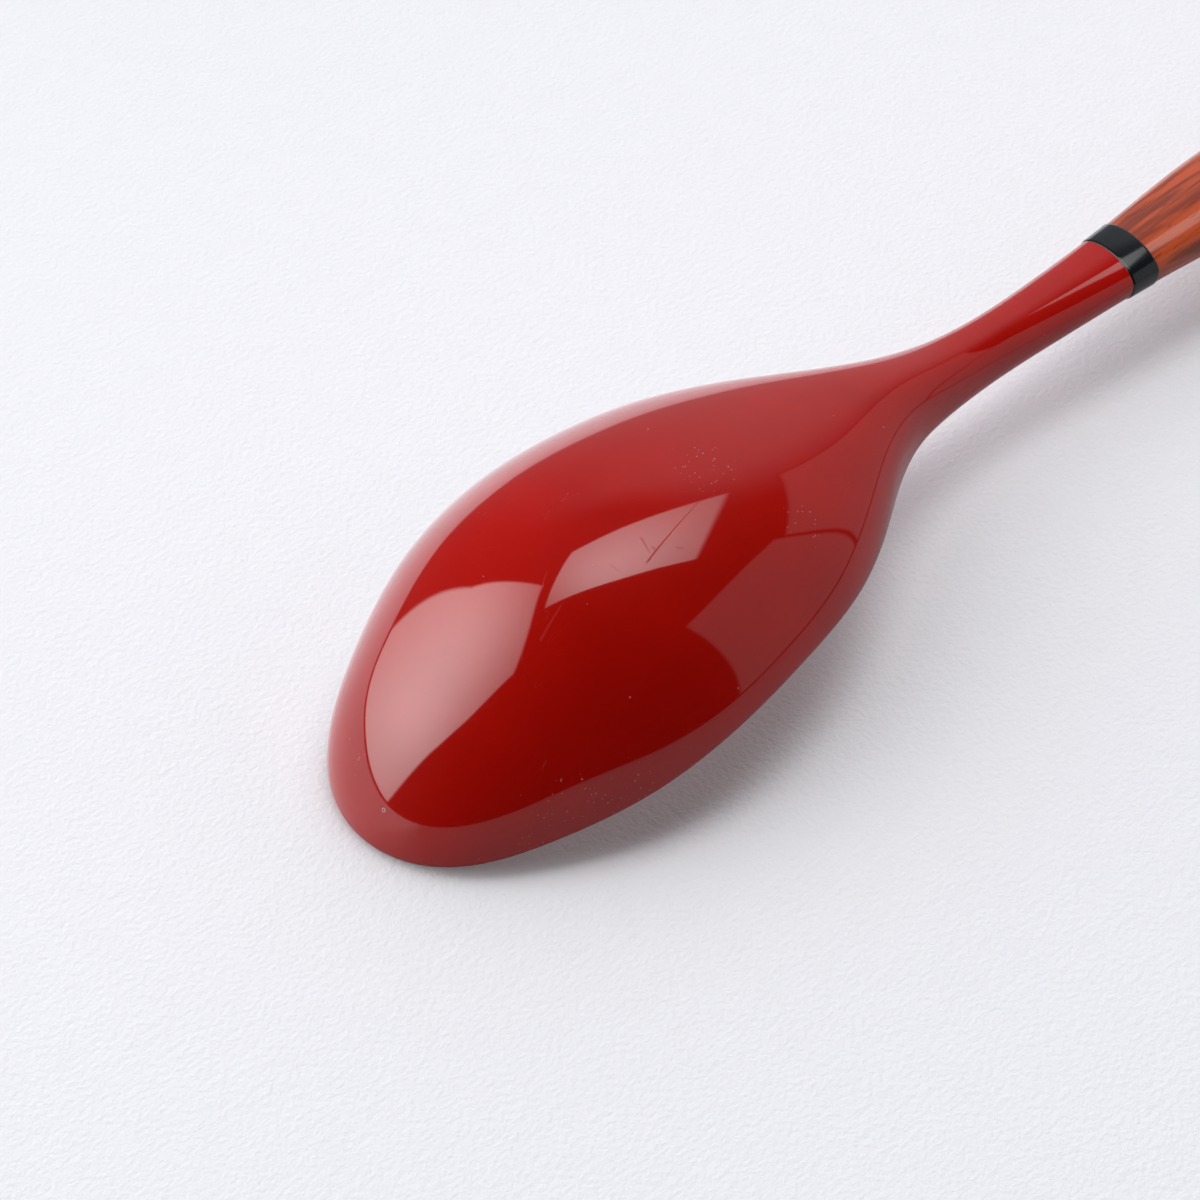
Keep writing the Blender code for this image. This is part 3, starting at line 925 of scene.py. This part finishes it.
def light_room(levels):
    """A dim room with a softly lit sweep behind the spoon. The camera sees it pale."""
    world = bpy.data.worlds.new("room")
    bpy.context.scene.world = world
    world.use_nodes = True
    tree = world.node_tree
    tree.nodes.clear()
    sight = add_node(tree, "ShaderNodeTexCoord").outputs["Generated"]
    parts = add_axes(tree, sight)
    bearing = add_math(tree, "ARCTAN2", parts[1], parts[0])
    height = add_math(tree, "ARCSINE", parts[2])
    left_edge, right_edge, top_edge = (82, 24), (-4, 24), (54, 38)
    far_edge, fill_edge = (-0.2, 0.6), (0.45, 1.0)
    towards_fill = (0.566, 0.675, 0.473)

    def fade(angle, edge):
        """A soft step between two angles in degrees."""
        return add_ramp(tree, angle, *(math.radians(part) for part in edge))

    sweep = add_math(tree, "MULTIPLY", fade(bearing, left_edge), fade(bearing, right_edge))
    sweep = add_math(tree, "MULTIPLY", sweep, fade(height, top_edge))
    far_side = add_ramp(tree, parts[1], *far_edge)
    behind = add_vector_math(tree, "DOT_PRODUCT", sight, towards_fill, output="Value")
    fill = add_math(tree, "MULTIPLY", add_ramp(tree, behind, *fill_edge), levels.fill)

    def room(sweep_level, far_level, colour, extra=0.0):
        level = add_math(tree, "MULTIPLY_ADD", sweep, sweep_level, extra)
        level = add_math(tree, "MULTIPLY_ADD", far_side, far_level, level)
        return add_node(tree, "ShaderNodeBackground",
                        {"Color": colour, "Strength": level}).outputs[0]

    lit = room(levels.sweep, levels.far_side, (0.95, 0.93, 1.0, 1), fill)
    mirrored = room(levels.sweep_seen, levels.far_side_seen, (0.92, 0.96, 1.0, 1))
    pale = add_node(tree, "ShaderNodeBackground", {"Color": (0.84, 0.85, 0.88, 1), "Strength": 1.0})
    ray = add_node(tree, "ShaderNodeLightPath").outputs
    mix = add_node(tree, "ShaderNodeMixShader", {0: ray["Is Glossy Ray"], 1: lit, 2: mirrored})
    mix = add_node(tree, "ShaderNodeMixShader", {
        0: ray["Is Camera Ray"], 1: mix.outputs[0], 2: pale.outputs[0]})
    add_node(tree, "ShaderNodeOutputWorld", {"Surface": mix.outputs[0]})


class SPOON_OT_stage(bpy.types.Operator):
    """Lay the paper, hang the panels and set up the camera"""

    bl_idname = "spoon.stage"
    bl_label = "Studio"

    def execute(self, context):
        levels = context.scene.studio_levels
        paper_reach = 0.34
        bm = bmesh.new()
        bmesh.ops.create_circle(bm, cap_ends=True, segments=128, radius=paper_reach)
        mesh = bpy.data.meshes.new("paper")
        bm.to_mesh(mesh)
        bm.free()
        mesh.materials.append(paper(context.scene.spoon_colours, levels))
        floor = bpy.data.objects.new("paper", mesh)
        context.scene.collection.objects.link(floor)

        window = [[(-0.185, 0.76, 0.0), (-0.26, 0.45, 0.365), (-0.19, 0.17, 0.81)],
                  [(-0.89, 0.34, 0.0), (-0.82, 0.13, 0.345), (-0.74, -0.12, 0.77)]]
        softbox = [[(-0.29, 0.025, 0.690), (0.032, 0.165, 0.553)],
                   [(0.325, -0.218, 0.618), (0.427, 0.069, 0.483)]]
        add_panel("window", window, levels.window, levels.window_seen,
                  hot_spot=(-0.555, 0.38, 0.32), reach=0.45)
        add_panel("softbox", softbox, levels.softbox, levels.softbox_seen,
                  hot_spot=(0.08, -0.02, 0.62), reach=0.28)
        degrees = math.radians
        add_board("right_board", levels, bearing=degrees(-58), first=degrees(-15),
                  last=degrees(31), height=0.71)
        add_board("end_board", levels, bearing=degrees(-8), first=degrees(-19),
                  last=degrees(16), height=0.60)
        light_room(levels)

        bearing, fall = math.radians(43.2131), math.radians(43.6797)
        view_angle = math.radians(18.0)
        distance = 0.382356
        target = Vector((-0.05592, 0.008867, 0.0))
        forward = Vector((math.cos(fall) * math.sin(bearing), math.cos(fall) * math.cos(bearing),
                          -math.sin(fall)))
        lens = bpy.data.cameras.new("camera")
        lens.sensor_width = 36.0
        lens.lens = lens.sensor_width / 2 / math.tan(view_angle / 2)
        camera = bpy.data.objects.new("camera", lens)
        camera.location = target - forward * distance
        camera.rotation_euler = forward.to_track_quat("-Z", "Y").to_euler()
        context.scene.collection.objects.link(camera)
        context.scene.camera = camera
        context.scene.view_settings.view_transform = "Standard"
        return {"FINISHED"}


class SPOON_PT_panel(bpy.types.Panel):
    """The spoon's sizes, colours and makers"""

    bl_idname = "SPOON_PT_panel"
    bl_label = "Lacquered spoon"
    bl_space_type = "VIEW_3D"
    bl_region_type = "UI"
    bl_category = "Spoon"

    def draw(self, context):
        for maker in MAKERS:
            self.layout.operator(maker.bl_idname)
        for title, group in (("Sizes", context.scene.spoon_sizes),
                             ("Colours", context.scene.spoon_colours),
                             ("Studio", context.scene.studio_levels)):
            box = self.layout.box()
            box.label(text=title)
            for name in group.__annotations__:
                box.prop(group, name)


GROUPS = (SpoonSizes, SpoonColours, StudioLevels)
MAKERS = (SPOON_OT_bowl, SPOON_OT_collar, SPOON_OT_handle, SPOON_OT_pin, SPOON_OT_stage)


def register():
    for cls in (*GROUPS, *MAKERS, SPOON_PT_panel):
        bpy.utils.register_class(cls)
    bpy.types.Scene.spoon_sizes = PointerProperty(type=SpoonSizes)
    bpy.types.Scene.spoon_colours = PointerProperty(type=SpoonColours)
    bpy.types.Scene.studio_levels = PointerProperty(type=StudioLevels)


def unregister():
    del bpy.types.Scene.studio_levels
    del bpy.types.Scene.spoon_colours
    del bpy.types.Scene.spoon_sizes
    for cls in reversed((*GROUPS, *MAKERS, SPOON_PT_panel)):
        bpy.utils.unregister_class(cls)


def main():
    register()
    bpy.ops.spoon.bowl()
    bpy.ops.spoon.collar()
    bpy.ops.spoon.handle()
    bpy.ops.spoon.pin()
    bpy.ops.spoon.stage()


if __name__ == "__main__":
    main()
